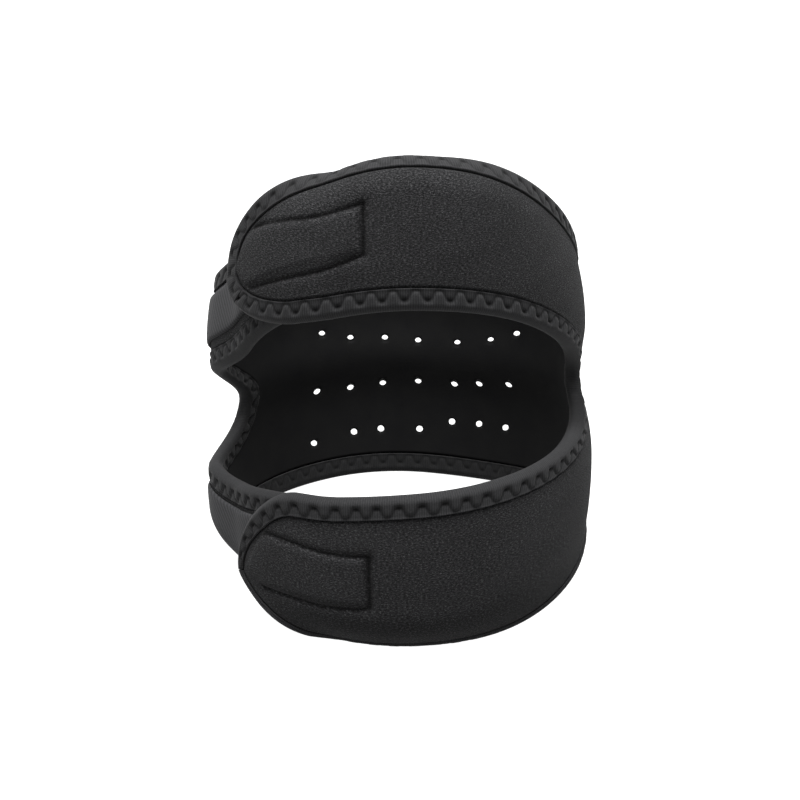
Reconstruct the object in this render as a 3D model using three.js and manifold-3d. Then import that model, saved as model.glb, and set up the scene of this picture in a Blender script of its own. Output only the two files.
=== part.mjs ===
// Patella strap: an open knee support of padded cloth, standing on its lower edge.
// One padded wall runs from the two fastening bands at the front, round the right side and the
// perforated back, to two arms at the left. The bands lap over the arms and hold by hook tape.
// Millimetres, +Z up, -Y the front. Turn is the angle round the loop in degrees: 0 at the front,
// 90 at the right, 180 at the back, 270 at the left, and on to the arms' ends under the bands.
import * as THREE from 'three';
import { mergeVertices } from 'three/addons/utils/BufferGeometryUtils.js';
import Module from 'manifold-3d';

// Loop: the two hoops that the wall runs between
const lower_half_width = 58.8;
const lower_half_depth = 65;
const lower_set_forward = 3.7;
const upper_half_width = 56.3;
const upper_half_depth = 58.2;
const upper_set_back = 23.2;
const front_height = 149.5;
const side_height = 95.6;
const back_height = 78.2;
const shoulder_rise = 0.85;
const right_lift = 12;
const left_lift = 3;
const belly = 3.4;
const waist = 3.6;
const waist_share = 0.54;
const waist_spread = 0.13;

// Wall and edge binding
const wall_thickness = 3.8;
const pressed_thickness = 2.1;
const ramp_width = 0.9;
const tape_thickness = 0.8;
const tape_leg = 6.6;
const clearance = 0.3;
const floor_press = 0.35;

// Rims that roll inwards at the front
const top_zone = 14;
const bottom_zone = 16;
const flat_roll_degrees = 0.5;
const top_roll_degrees = 96.8;
const bottom_roll_degrees = 73.2;

// Lap at the left front: the arms step in under the bands
const strap_thickness = 1;
const hook_thickness = 1.2;
const hook_clearance = 0.5;
const lap_clearance = 1;
const band_stand_off = 0.8;

// Loop strips and hook tape
const strap_inset = 0.4;
const upper_strap_low_inset = 2.2;
const hook_inset = 1.2;

// Perforations
const hole_diameter = 2.4;
const hole_sides = 8;

// Places round the loop, in degrees, and their shape exponents
const opening = { centre: -21, reach: 97, power: 2.4, half_share: 0.1775 };
const notch = { centre: 320, reach: 79.5, power: 2.4, half_share: 0.192 };
const upper_band = { tip: -62, start: -34, power: 1.6, outer_power: 3.5, centre_share: 0.53 };
const lower_band = { tip: -58.6, start: -34, power: 1.8, outer_power: 1.35, centre_share: 0.68 };
const arm = { tip: 350, start: 334, power: 2.4, outer_power: 2.4, centre_share: 0.5 };
const arm_taper = { from: 288, to: 326, share: 0.072 };
const arm_edge = { from: 270, to: 330, upper_rise: 0.02, lower_rise: 0.015 };
const tuck = { from: 262, to: 290 };
const band_out = { from: -45, to: 0 };
const top_front_roll = { starts: -50, full: -22, fades: 6, ends: 60 };
const bottom_front_roll = { starts: -50, full: -22, fades: 2, ends: 67 };
const left_roll = { starts: 235, full: 268, fades: 280, ends: 325 };
const opening_middle = { at_front: 0.5145, per_degree: 0.000114 };
const notch_middle = { at_end: 0.43, beyond: 0.492, from: 240, to: 272 };
const strap_turns = { from: 250, to: 336 };
const seam_columns = 4;

// Hook tape outlines: height shares at the tip end and at the inner end
const hook_turns = { from: -49, to: -13 };
const upper_hook = { low: [0.796, 0.803], high: [0.934, 0.899] };
const lower_hook = { low: [0.1, 0.11], high: [0.24, 0.216] };

// Perforations: turn and height share of each hole, row by row
const hole_rows = [
  { turns: [129, 140, 153, 167.5, 179.5, 192, 202.5], shares: [0.68, 0.64, 0.61, 0.605, 0.615, 0.625, 0.66] },
  { turns: [133, 145.5, 155, 168, 180.5, 192, 204.5], shares: [0.445, 0.43, 0.415, 0.415, 0.405, 0.395, 0.4] },
  { turns: [136, 146.5, 156.5, 168, 181.5, 191, 206], shares: [0.245, 0.245, 0.24, 0.195, 0.195, 0.19, 0.17] },
];

// Mesh density
const front_columns = 20;
const back_columns = 16;
const arm_columns = 17;
const crowding = 0.75;
const rim_line_share = 0.3;

// Sizes that follow
const half_wall = wall_thickness / 2;
const half_pressed = pressed_thickness / 2;
const half_tape_gap = half_pressed + clearance;
const half_roll = half_tape_gap + tape_thickness;
const edge_field = tape_leg + clearance + ramp_width;
const lap_gaps = clearance + hook_clearance + lap_clearance;
const lap_depth = wall_thickness + hook_thickness + strap_thickness + lap_gaps;
const arm_step_in = lap_depth - band_stand_off;
const degrees_per_mm = 180 / Math.PI / lower_half_width;

const radians = THREE.MathUtils.degToRad;
const mix = THREE.MathUtils.lerp;
const ease = (value, from, to) => THREE.MathUtils.smoothstep(value, from, to);

// How much a rim rolls in at a turn, eased in and out between the turns of a row above
function rollShare(turn, row) {
  return ease(turn, row.starts, row.full) * (1 - ease(turn, row.fades, row.ends));
}

function topRoll(turn) {
  return radians(flat_roll_degrees + top_roll_degrees * rollShare(turn, top_front_roll));
}

function bottomRoll(turn) {
  const share = Math.max(rollShare(turn, bottom_front_roll), rollShare(turn, left_roll));
  return radians(flat_roll_degrees + bottom_roll_degrees * share);
}

// Height of the upper hoop over the lower one: a cosine series through front, side and back, and
// a rise at the front's shoulders
function loopHeight(turn) {
  const angle = radians(turn);
  const middle = (front_height + back_height) / 4 + side_height / 2;
  const tilt = (front_height - back_height) / 2;
  const dip = (front_height + back_height) / 4 - side_height / 2;
  const shoulder = (shoulder_rise * Math.sin(2 * angle) ** 2 * (1 + Math.cos(angle))) / 2;
  return middle + tilt * Math.cos(angle) + dip * Math.cos(2 * angle) + shoulder;
}

// The straight slice of the wall at a turn: its foot, its upward direction, its normal, its length
function slice(turn) {
  const sine = Math.sin(radians(turn));
  const cosine = Math.cos(radians(turn));
  const lift = (sine > 0 ? right_lift : left_lift) * sine ** 4;
  const out = new THREE.Vector3(sine, -cosine, 0);
  const foot_depth = -lower_set_forward - lower_half_depth * cosine;
  const foot = new THREE.Vector3(lower_half_width * sine, foot_depth, lift);
  const head_depth = upper_set_back - upper_half_depth * cosine;
  const head = new THREE.Vector3(upper_half_width * sine, head_depth, loopHeight(turn));
  const along = head.clone().sub(foot);
  const length = along.length();
  along.normalize();
  const normal = out.clone().addScaledVector(along, -out.dot(along)).normalize();
  const roll = bottomRoll(turn);
  const radius = bottom_zone / roll;
  const bend = roll * (1 - half_roll / bottom_zone);
  const drop = bottom_zone - radius * Math.sin(bend);
  const inward = radius * (1 - Math.cos(bend));
  foot.z += half_roll - drop * along.z + inward * normal.z;
  return { foot, along, normal, length };
}

// How far the wall stands off the plain loop: bands a little out, arms a lap's depth in
function standOff(turn) {
  const bands = band_stand_off * (1 - ease(turn, band_out.from, band_out.to));
  const arms = arm_step_in * ease(turn, tuck.from, tuck.to);
  return turn < 180 ? bands : -arms;
}

// Point of the wall at a turn, a share of its height and a distance out from its middle surface.
// The straight slice bends inwards on an arc within a zone at its foot and at its head.
function wallPoint(turn, share, distance) {
  const { foot, along, normal, length } = slice(turn);
  const up = share * length;
  const waisted = waist * Math.exp(-(((share - waist_share) / waist_spread) ** 2));
  const shift = standOff(turn) + belly * 4 * share * (1 - share) - waisted;
  const point = foot.clone();
  const facing = normal.clone();
  if (up > length - top_zone) {
    const roll = topRoll(turn);
    const radius = top_zone / roll;
    const bend = (roll * (up - length + top_zone)) / top_zone;
    point.addScaledVector(along, length - top_zone + radius * Math.sin(bend));
    point.addScaledVector(normal, -radius * (1 - Math.cos(bend)));
    facing.multiplyScalar(Math.cos(bend)).addScaledVector(along, Math.sin(bend));
  } else if (up < bottom_zone) {
    const roll = bottomRoll(turn);
    const radius = bottom_zone / roll;
    const bend = (roll * (bottom_zone - up)) / bottom_zone;
    point.addScaledVector(along, bottom_zone - radius * Math.sin(bend));
    point.addScaledVector(normal, -radius * (1 - Math.cos(bend)));
    facing.multiplyScalar(Math.cos(bend)).addScaledVector(along, -Math.sin(bend));
  } else {
    point.addScaledVector(along, up);
  }
  return point.addScaledVector(normal, shift).addScaledVector(facing, distance);
}

// Superellipse profile: 1 along the straight part, 0 at the end
function roundOff(reach, power) {
  return reach <= 0 ? 1 : (1 - Math.min(reach, 1) ** power) ** (1 / power);
}

function openingMiddle(turn) {
  return opening_middle.at_front + opening_middle.per_degree * turn;
}

function notchMiddle(turn) {
  return mix(notch_middle.at_end, notch_middle.beyond, ease(turn, notch_middle.from, notch_middle.to));
}

// Line between the two halves of the back, from the opening's end to the notch's end
function backMiddle(turn) {
  const from = opening.centre + opening.reach + edge_field * degrees_per_mm;
  const to = notch.centre - notch.reach - edge_field * degrees_per_mm;
  return mix(openingMiddle(from), notchMiddle(to), ease(turn, from, to));
}

// Inner edge of a half at a turn, inset mm inside the bound outline; sign +1 for the upper half
function innerEdge(turn, inset, sign) {
  const margin = inset / loopHeight(turn);
  if (turn < 180) {
    const reach = (turn - opening.centre) / (opening.reach + inset * degrees_per_mm);
    const half = (opening.half_share + margin) * roundOff(reach, opening.power);
    return openingMiddle(turn) + sign * half;
  }
  const reach = (notch.centre - turn) / (notch.reach + inset * degrees_per_mm);
  const slope = sign > 0 ? arm_edge.upper_rise : -arm_edge.lower_rise;
  const half = (notch.half_share + margin) * roundOff(reach, notch.power);
  return notchMiddle(turn) + sign * (half + slope * ease(turn, arm_edge.from, arm_edge.to));
}

// Outer edge of a half: the loop's rim, drawn in on the arms
function outerEdge(turn, inset, sign) {
  const drawn_in = arm_taper.share * ease(turn, arm_taper.from, arm_taper.to) + inset / loopHeight(turn);
  return sign > 0 ? 1 - drawn_in : drawn_in;
}

// How far a turn has gone into the rounded end of a band or an arm, as a share of that end
function tipReach(turn, inset, tip) {
  const side = Math.sign(tip.tip - tip.start);
  const length = Math.abs(tip.tip - tip.start) - inset * degrees_per_mm;
  return (side * (turn - tip.start)) / length;
}

// Both edges of a half at a turn, drawn together at its rounded ends
function edges(turn, inset, half) {
  let inner = innerEdge(turn, inset, half.sign);
  let outer = outerEdge(turn, inset, half.sign);
  for (const tip of [half.band, arm]) {
    const reach = tipReach(turn, inset, tip);
    const middle = mix(inner, outer, tip.centre_share);
    inner = mix(middle, inner, roundOff(reach, tip.power));
    outer = mix(middle, outer, roundOff(reach, tip.outer_power));
  }
  return { inner, outer };
}

// Turns between two places, crowded towards both
function crowded(from, to, count) {
  return Array.from({ length: count + 1 }, (_, index) => {
    const share = index / count;
    return mix(from, to, share - (crowding * Math.sin(2 * Math.PI * share)) / (2 * Math.PI));
  });
}

const field_degrees = edge_field * degrees_per_mm;
const opening_end = opening.centre + opening.reach + field_degrees;
const notch_end = notch.centre - notch.reach - field_degrees;

// A half of the wall: its band, its columns, and whether it is the upper (+1) or lower (-1) half
function wallHalf(band, sign) {
  const front = crowded(band.tip + field_degrees, opening_end, front_columns);
  const back = Array.from({ length: back_columns - 1 }, (_, index) =>
    mix(opening_end, notch_end, (index + 1) / back_columns)
  );
  const arms = crowded(notch_end, arm.tip - field_degrees, arm_columns);
  return { band, sign, turns: [...front, ...back, ...arms] };
}

const upper_half = wallHalf(upper_band, 1);
const lower_half = wallHalf(lower_band, -1);
const notch_column = front_columns + back_columns;

// Shares of a half's inner and outer edge lines at one of its columns
function columnEdges(half, column) {
  const turn = half.turns[column];
  const line = edges(turn, edge_field, half);
  const at_back = column >= front_columns && column <= notch_column;
  return { inner: at_back ? backMiddle(turn) : line.inner, outer: line.outer };
}

// One station of the wall's outline: a place on the line where the edge field starts, and the
// place on the bound outline that it runs out to, drawn along at apexes and tips
function station(half, column, along_outer) {
  const turn = half.turns[column];
  const shares = columnEdges(half, column);
  const band_end = Math.max(0, tipReach(turn, edge_field, half.band));
  const arm_end = Math.max(0, tipReach(turn, edge_field, arm));
  let drawn = field_degrees * (Math.min(1, arm_end) ** 2 - Math.min(1, band_end) ** 2);
  if (!along_outer) {
    const opening_reach = (turn - opening.centre) / (opening.reach + field_degrees);
    const notch_reach = (notch.centre - turn) / (notch.reach + field_degrees);
    drawn -= turn < 180 ? field_degrees * Math.max(0, opening_reach) ** 4 : 0;
    drawn += turn > 180 ? field_degrees * Math.max(0, notch_reach) ** 4 : 0;
  }
  const rim_turn = turn + drawn;
  const rim = edges(rim_turn, 0, half);
  return {
    turn,
    share: along_outer ? shares.outer : shares.inner,
    rim_turn,
    rim_share: along_outer ? rim.outer : rim.inner,
  };
}

// The whole outline, anticlockwise as seen from outside, from the lower band's tip
function outlineStations() {
  const last = upper_half.turns.length - 1;
  const run = (half, from, to, along_outer) => {
    const step = Math.sign(to - from);
    const stations = [];
    for (let column = from; column !== to; column += step) {
      stations.push(station(half, column, along_outer));
    }
    return stations;
  };
  return [
    ...run(lower_half, 0, last, true),
    ...run(lower_half, last, notch_column, false),
    ...run(upper_half, notch_column, last, false),
    ...run(upper_half, last, 0, true),
    ...run(upper_half, 0, front_columns, false),
    ...run(lower_half, front_columns, 0, false),
  ];
}

const stations = outlineStations();

// Point of a station's section: depth mm inside the bound outline, distance out of the wall
function sectionPoint(place, depth, distance) {
  const inward = depth / edge_field;
  const turn = mix(place.rim_turn, place.turn, inward);
  const share = mix(place.rim_share, place.share, inward);
  return wallPoint(turn, share, distance);
}

// Triangles gathered from quads; corners go anticlockwise as seen from outside
class Surface {
  constructor() {
    this.corners = [];
  }

  triangle(a, b, c) {
    if (a.distanceTo(b) < 1e-4 || b.distanceTo(c) < 1e-4 || c.distanceTo(a) < 1e-4) {
      return;
    }
    this.corners.push(...a.toArray(), ...b.toArray(), ...c.toArray());
  }

  quad(a, b, c, d) {
    this.triangle(a, b, c);
    this.triangle(a, c, d);
  }

  geometry() {
    const loose = new THREE.BufferGeometry();
    loose.setAttribute('position', new THREE.Float32BufferAttribute(this.corners, 3));
    return mergeVertices(loose, 1e-3);
  }
}

// Height shares of the wall's lines at a turn: inner edge, middle, where the rim starts to roll
// (or nearer the outer edge where a rounded end leaves less room), half way on, and outer edge
function wallLines(turn, inner, outer) {
  const room = Math.abs(outer - inner) * loopHeight(turn);
  const zone = outer > inner ? top_zone : bottom_zone;
  const rim = mix(outer, inner, Math.min(rim_line_share, (zone - edge_field) / Math.max(room, 1e-6)));
  return [inner, mix(inner, rim, 0.5), rim, mix(rim, outer, 0.5), outer];
}

// Outer and inner faces of one half, between its edge lines
function addFaces(surface, half) {
  const rows = half.turns.map((turn, column) => {
    const { inner, outer } = columnEdges(half, column);
    const lines = wallLines(turn, inner, outer);
    const upward = half.sign > 0 ? lines : lines.reverse();
    return upward.map((share) => ({
      out: wallPoint(turn, share, half_wall),
      in: wallPoint(turn, share, -half_wall),
    }));
  });
  for (let column = 1; column < rows.length; column += 1) {
    for (let line = 1; line < rows[column].length; line += 1) {
      const [a, b] = [rows[column - 1][line - 1], rows[column][line - 1]];
      const [c, d] = [rows[column][line], rows[column - 1][line]];
      surface.quad(a.out, b.out, c.out, d.out);
      surface.quad(a.in, d.in, c.in, b.in);
    }
  }
}

// The wall's edge, all round its outline: ramp, pressed margin under the binding, rounded rim
function addMargin(surface) {
  const profile = [
    { depth: edge_field, distance: half_wall },
    { depth: tape_leg + clearance, distance: half_pressed },
    { depth: half_roll, distance: half_pressed },
    { depth: half_roll - half_pressed, distance: 0 },
    { depth: half_roll, distance: -half_pressed },
    { depth: tape_leg + clearance, distance: -half_pressed },
    { depth: edge_field, distance: -half_wall },
  ];
  const rows = stations.map((place) => profile.map((step) => sectionPoint(place, step.depth, step.distance)));
  rows.forEach((row, index) => {
    const next = rows[(index + 1) % rows.length];
    for (let step = 1; step < row.length; step += 1) {
      surface.quad(row[step - 1], row[step], next[step], next[step - 1]);
    }
  });
}

// Solid lofted through closed sections of equal length, capped at both ends. Sides from the
// corner turned_from on are split along their other diagonal, to match the face that they lie on.
function loft(sections, cap, turned_from) {
  const surface = new Surface();
  for (let index = 1; index < sections.length; index += 1) {
    const [near, far] = [sections[index - 1], sections[index]];
    near.forEach((point, corner) => {
      const next = (corner + 1) % near.length;
      if (corner < turned_from) {
        surface.quad(point, near[next], far[next], far[corner]);
      } else {
        surface.quad(near[next], far[next], far[corner], point);
      }
    });
  }
  for (const [a, b, c] of cap) {
    const [first, last] = [sections[0], sections[sections.length - 1]];
    surface.triangle(first[a], first[c], first[b]);
    surface.triangle(last[a], last[b], last[c]);
  }
  return surface.geometry();
}

// Triangles over a flat outline of [x, y] corners
function capTriangles(outline) {
  const corners = outline.map(([x, y]) => new THREE.Vector2(x, y));
  return THREE.ShapeUtils.triangulateShape(corners, []);
}

// U section of the folded tape: depth inside the bound outline, distance out of the wall. The roll
// is half an octagon, turned so that a flat side lies at the edge.
const roll_side = half_roll * Math.sin(Math.PI / 8);
const roll_shoulder = half_roll * Math.cos(Math.PI / 8);
const tape_section = [
  [tape_leg, half_roll],
  [half_roll, half_roll],
  [half_roll - roll_side, roll_shoulder],
  [0, roll_side],
  [0, -roll_side],
  [half_roll - roll_side, -roll_shoulder],
  [half_roll, -half_roll],
  [tape_leg, -half_roll],
  [tape_leg, -half_tape_gap],
  [half_roll, -half_tape_gap],
  [tape_thickness, 0],
  [half_roll, half_tape_gap],
  [tape_leg, half_tape_gap],
];
const tape_inside = 8;

// Edge binding over a stretch of the outline, its ends drawn back so that stretches don't touch
function binding(from, to) {
  const count = stations.length;
  const places = [];
  for (let index = from; index <= to; index += 1) {
    places.push({ ...stations[index % count] });
  }
  const drawBack = (end, next) => {
    const gap = clearance / 2 / Math.max(clearance, rimDistance(end, next));
    for (const key of ['turn', 'share', 'rim_turn', 'rim_share']) {
      end[key] = mix(end[key], next[key], gap);
    }
  };
  drawBack(places[0], places[1]);
  drawBack(places[places.length - 1], places[places.length - 2]);
  const sections = places.map((place) =>
    tape_section.map(([depth, distance]) => {
      const point = sectionPoint(place, depth, distance);
      point.z = Math.max(point.z, floor_press);
      return point;
    })
  );
  return loft(sections, capTriangles(tape_section), tape_inside);
}

// Shorter of the distances between two stations, at the rim and at the edge field
function rimDistance(a, b) {
  const rim = wallPoint(a.rim_turn, a.rim_share, 0).distanceTo(wallPoint(b.rim_turn, b.rim_share, 0));
  const field = wallPoint(a.turn, a.share, 0).distanceTo(wallPoint(b.turn, b.share, 0));
  return Math.min(rim, field);
}

// Flat strip lying on the wall along lines of height shares, from one distance out of it to another
function strip(turns, lines, near, far) {
  const sections = turns.map((turn) => {
    const shares = lines(turn);
    const outside = shares.map((share) => wallPoint(turn, share, far));
    const inside = shares.map((share) => wallPoint(turn, share, near));
    return [...inside, ...outside.reverse()];
  });
  const steps = [...Array(sections[0].length / 2).keys()];
  const outline = [...steps.map((step) => [step, 0]), ...steps.reverse().map((step) => [step, 1])];
  return loft(sections, capTriangles(outline), steps.length);
}

function turnsWithin(half, range) {
  const middle = half.turns.filter((turn) => turn > range.from + 1 && turn < range.to - 1);
  return [range.from, ...middle, range.to];
}

// Loop strip on an arm's outer face
function loopStrip(half, inner_inset) {
  const lines = (turn) => {
    const { inner, outer } = edges(turn, edge_field, half);
    const shares = wallLines(turn, inner, outer);
    shares[0] += (half.sign * inner_inset) / loopHeight(turn);
    shares[4] -= (half.sign * strap_inset) / loopHeight(turn);
    return half.sign > 0 ? shares : shares.reverse();
  };
  const near = half_wall + clearance;
  return strip(turnsWithin(half, strap_turns), lines, near, near + strap_thickness);
}

// Hook tape under a band's end, kept on the straight part of the wall inside the edge field
function hookPatch(half, outline) {
  const lines = (turn) => {
    const { inner, outer } = edges(turn, edge_field, half);
    const [first, , last] = wallLines(turn, inner, outer);
    const inset = hook_inset / loopHeight(turn);
    const along = (turn - hook_turns.from) / (hook_turns.to - hook_turns.from);
    const low = Math.max(Math.min(first, last) + inset, mix(outline.low[0], outline.low[1], along));
    const high = Math.min(Math.max(first, last) - inset, mix(outline.high[0], outline.high[1], along));
    return [low, mix(low, high, 0.5), high];
  };
  const near = -half_wall - hook_clearance;
  return strip(turnsWithin(half, hook_turns), lines, near - hook_thickness, near);
}

const wasm = await Module();
wasm.setup();

function toSolid(geometry) {
  const bare = geometry.clone();
  bare.deleteAttribute('normal');
  bare.deleteAttribute('uv');
  const merged = mergeVertices(bare, 1e-3);
  const mesh = new wasm.Mesh({
    numProp: 3,
    vertProperties: new Float32Array(merged.attributes.position.array),
    triVerts: new Uint32Array(merged.index.array),
  });
  return new wasm.Manifold(mesh);
}

function fromSolid(solid) {
  const mesh = solid.getMesh();
  const geometry = new THREE.BufferGeometry();
  geometry.setAttribute('position', new THREE.Float32BufferAttribute(mesh.vertProperties, 3));
  geometry.setIndex(new THREE.Uint32BufferAttribute(mesh.triVerts, 1));
  return geometry;
}

// Round punch through the wall at a turn and share, square to its surface
function holePunch(turn, share) {
  const middle = wallPoint(turn, share, 0);
  const outside = wallPoint(turn, share, half_wall);
  const radius = hole_diameter / 2;
  const punch = new THREE.CylinderGeometry(radius, radius, 3 * wall_thickness, hole_sides);
  const towards = outside.sub(middle).normalize();
  punch.applyQuaternion(new THREE.Quaternion().setFromUnitVectors(new THREE.Vector3(0, 1, 0), towards));
  punch.translate(middle.x, middle.y, middle.z);
  return toSolid(punch);
}

function paddedWall() {
  const surface = new Surface();
  addFaces(surface, upper_half);
  addFaces(surface, lower_half);
  addMargin(surface);
  let wall = toSolid(surface.geometry());
  for (const row of hole_rows) {
    row.turns.forEach((turn, index) => {
      wall = wall.subtract(holePunch(turn, row.shares[index]));
    });
  }
  return fromSolid(wall);
}

const fabric = new THREE.MeshStandardMaterial({ color: '#38383a', roughness: 0.95, metalness: 0 });
const tape = new THREE.MeshStandardMaterial({ color: '#2f2f31', roughness: 0.9, metalness: 0 });
const loop_pile = new THREE.MeshStandardMaterial({ color: '#4a4a4c', roughness: 0.85, metalness: 0 });
const hook_tape = new THREE.MeshStandardMaterial({ color: '#1e1e20', roughness: 0.7, metalness: 0 });

function piece(name, geometry, material) {
  const mesh = new THREE.Mesh(geometry, material);
  mesh.name = name;
  return mesh;
}

// Stretches of the outline: bottom, notch with both arm ends, top, opening with both band ends
const columns = upper_half.turns.length - 1;
const lower_arm_end = columns;
const upper_arm_end = lower_arm_end + 2 * (columns - notch_column);
const upper_band_end = upper_arm_end + columns + seam_columns;
const strap_group = new THREE.Group();
strap_group.add(piece('padded_wall', paddedWall(), fabric));
strap_group.add(piece('binding_bottom', binding(0, lower_arm_end), tape));
strap_group.add(piece('binding_notch', binding(lower_arm_end, upper_arm_end), tape));
strap_group.add(piece('binding_top', binding(upper_arm_end, upper_band_end), tape));
strap_group.add(piece('binding_opening', binding(upper_band_end, stations.length), tape));
strap_group.add(piece('upper_loop_strip', loopStrip(upper_half, upper_strap_low_inset), loop_pile));
strap_group.add(piece('lower_loop_strip', loopStrip(lower_half, strap_inset), loop_pile));
strap_group.add(piece('upper_hook_patch', hookPatch(upper_half, upper_hook), hook_tape));
strap_group.add(piece('lower_hook_patch', hookPatch(lower_half, lower_hook), hook_tape));

// Origin: under the middle of the whole strap, on the surface it stands on
const box = new THREE.Box3().setFromObject(strap_group);
const centre = box.getCenter(new THREE.Vector3());
strap_group.position.set(-centre.x, -centre.y, -box.min.z);
strap_group.updateMatrixWorld(true);

export default strap_group;
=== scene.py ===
"""Dressed patella strap: brushed padded wall, ribbed edge tape with zigzag stitching, loop strips."""
import math

import bmesh
import bpy
import numpy as np
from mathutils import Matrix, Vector


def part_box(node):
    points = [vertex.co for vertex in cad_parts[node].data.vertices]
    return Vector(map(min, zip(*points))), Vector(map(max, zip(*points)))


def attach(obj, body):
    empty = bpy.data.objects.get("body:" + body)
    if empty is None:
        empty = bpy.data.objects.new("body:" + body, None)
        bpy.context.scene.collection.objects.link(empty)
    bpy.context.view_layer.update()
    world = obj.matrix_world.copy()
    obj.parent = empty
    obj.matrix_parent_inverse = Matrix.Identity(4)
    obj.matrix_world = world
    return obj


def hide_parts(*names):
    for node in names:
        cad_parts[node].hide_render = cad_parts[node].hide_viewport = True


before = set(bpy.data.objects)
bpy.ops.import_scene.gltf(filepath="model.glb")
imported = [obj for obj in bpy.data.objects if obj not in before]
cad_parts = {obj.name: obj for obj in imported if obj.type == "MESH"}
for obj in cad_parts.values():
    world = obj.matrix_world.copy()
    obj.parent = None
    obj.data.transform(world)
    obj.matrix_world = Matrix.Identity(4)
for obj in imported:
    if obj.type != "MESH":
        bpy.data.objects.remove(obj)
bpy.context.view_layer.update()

# Loop: the two hoops that the wall runs between, in millimetres
LOWER_HALF_WIDTH = 58.8
LOWER_HALF_DEPTH = 65.0
LOWER_SET_FORWARD = 3.7
UPPER_HALF_WIDTH = 56.3
UPPER_HALF_DEPTH = 58.2
UPPER_SET_BACK = 23.2
FRONT_HEIGHT = 149.5
SIDE_HEIGHT = 95.6
BACK_HEIGHT = 78.2
SHOULDER_RISE = 0.85
RIGHT_LIFT = 12.0
LEFT_LIFT = 3.0
BELLY = 3.4
WAIST = 3.6
WAIST_SHARE = 0.54
WAIST_SPREAD = 0.13

# Wall and edge binding
WALL_THICKNESS = 3.8
PRESSED_THICKNESS = 2.1
MARGIN_MIDDLE = 4.5
RAMP_WIDTH = 0.9
TAPE_THICKNESS = 0.8
TAPE_LEG = 6.6
NARROW_LEG = 2.9
NARROW_LEG_TURNS = (75.0, 110.0)
NARROW_LEG_SHARES = (0.1, 0.25)
CLEARANCE = 0.3
FLOOR_PRESS = 0.35

# Rims that roll inwards at the front
TOP_ZONE = 14.0
BOTTOM_ZONE = 16.0
FLAT_ROLL_DEGREES = 0.5
TOP_ROLL_DEGREES = 96.8
BOTTOM_ROLL_DEGREES = 73.2

# Lap at the left front
STRAP_THICKNESS = 1.0
HOOK_THICKNESS = 1.2
HOOK_CLEARANCE = 0.5
LAP_CLEARANCE = 1.0
BAND_STAND_OFF = 0.8

# Loop strips and hook tape
STRAP_INSET = 0.4
UPPER_STRAP_LOW_INSET = 2.2
STRAP_EDGE_DIP = 0.3
STRAP_EDGE_WIDTH = 1.2
HOOK_INSET = 1.2
ROUNDED_BORDER = 0.35
BORDER_SHARE = 0.45

# Places round the loop, in degrees, as in the part
OPENING = dict(centre=-21.0, reach=97.0, power=2.4, half_share=0.1775)
NOTCH = dict(centre=320.0, reach=79.5, power=2.4, half_share=0.192)
UPPER_BAND = dict(tip=-62.0, start=-34.0, power=1.6, outer_power=3.5, centre_share=0.53)
LOWER_BAND = dict(tip=-58.6, start=-34.0, power=1.8, outer_power=1.35, centre_share=0.68)
ARM = dict(tip=350.0, start=334.0, power=2.4, outer_power=2.4, centre_share=0.5)
ARM_TAPER = (288.0, 326.0, 0.072)
ARM_EDGE = dict(start=270.0, end=330.0, upper_rise=0.02, lower_rise=0.015)
TUCK = (262.0, 290.0)
BAND_OUT = (-45.0, 0.0)
TOP_FRONT_ROLL = (-50.0, -22.0, 6.0, 60.0)
BOTTOM_FRONT_ROLL = (-50.0, -22.0, 2.0, 67.0)
LEFT_ROLL = (235.0, 268.0, 280.0, 325.0)
OPENING_MIDDLE = (0.5145, 0.000114)
NOTCH_MIDDLE = (0.43, 0.492, 240.0, 272.0)
STRAP_TURNS = (250.0, 336.0)
HOOK_TURNS = (-49.0, -13.0)
UPPER_HOOK = dict(low=(0.796, 0.803), high=(0.934, 0.899))
LOWER_HOOK = dict(low=(0.1, 0.11), high=(0.24, 0.216))

# Perforations: (turns, height shares) of each row, the hole's size, how far it may lean towards the
# front, and the block of the wall that its rings replace: half its length and height in mm
HOLE_ROWS = (
    ((129, 140, 153, 167.5, 179.5, 192, 202.5), (0.68, 0.64, 0.61, 0.605, 0.615, 0.625, 0.66)),
    ((133, 145.5, 155, 168, 180.5, 192, 204.5), (0.445, 0.43, 0.415, 0.415, 0.405, 0.395, 0.4)),
    ((136, 146.5, 156.5, 168, 181.5, 191, 206), (0.245, 0.245, 0.24, 0.195, 0.195, 0.19, 0.17)),
)
HOLE_DIAMETER = 2.4
HOLE_SLANT_LIMIT = 3.4
HOLE_STRETCH_LIMIT = 1.5
LEAST_FACING = 0.2
HOLE_BLOCK = (4.6, 3.2)
RING_PLACES = (0.0, 0.35, 0.6, 0.78, 0.9, 1.0)
DIMPLE_DEPTH = 0.35
DIMPLE_WIDTH = 0.14

# Zigzag stitching of the tape: its line, and the (size, reach, phase) of its uneven pitch
ZIGZAG_PITCH = 6.4
ZIGZAG_FAR = 6.1
ZIGZAG_NEAR = 3.3
LOBE_START = -0.9
PITCH_WOBBLES = ((0.05, 10.7, 0.0), (0.035, 4.3, 1.0))

# The tape's relief: (height, width) of what rises beside the thread, then what the thread pulls in,
# where the relief starts inside the rim, and how dark the painted shade makes each place
ROLL_PUFF = (0.55, 0.8)
EDGE_PUFF = (0.12, 0.8)
CUT_LIP = (0.22, 0.35)
TAPE_UNEVEN = (0.08, 9.0)
GROOVE_DEPTH = 0.22
GROOVE_WIDTH = 0.42
GROOVE_SHADE = 0.45
PIT_DEPTH = 0.4
PIT_WIDTH = 0.75
PIT_LENGTH = 0.3
PIT_SHADE = 1.1
TAPE_SINK = 0.05
TAPE_FADE = (0.6, 2.4)
# Painted shade on the leg on the lining side, and on the whole tape where the opening ends
LINING_SHADE = 0.85
APEX_SHADE = 0.7
APEX_SHADE_TURNS = (3.0, 14.0)
APEX_SHADE_HALF_SHARE = 0.2
RIM_TAPE_RELIEF = 0.6
NARROW_LEG_RELIEF = 0.35
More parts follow.
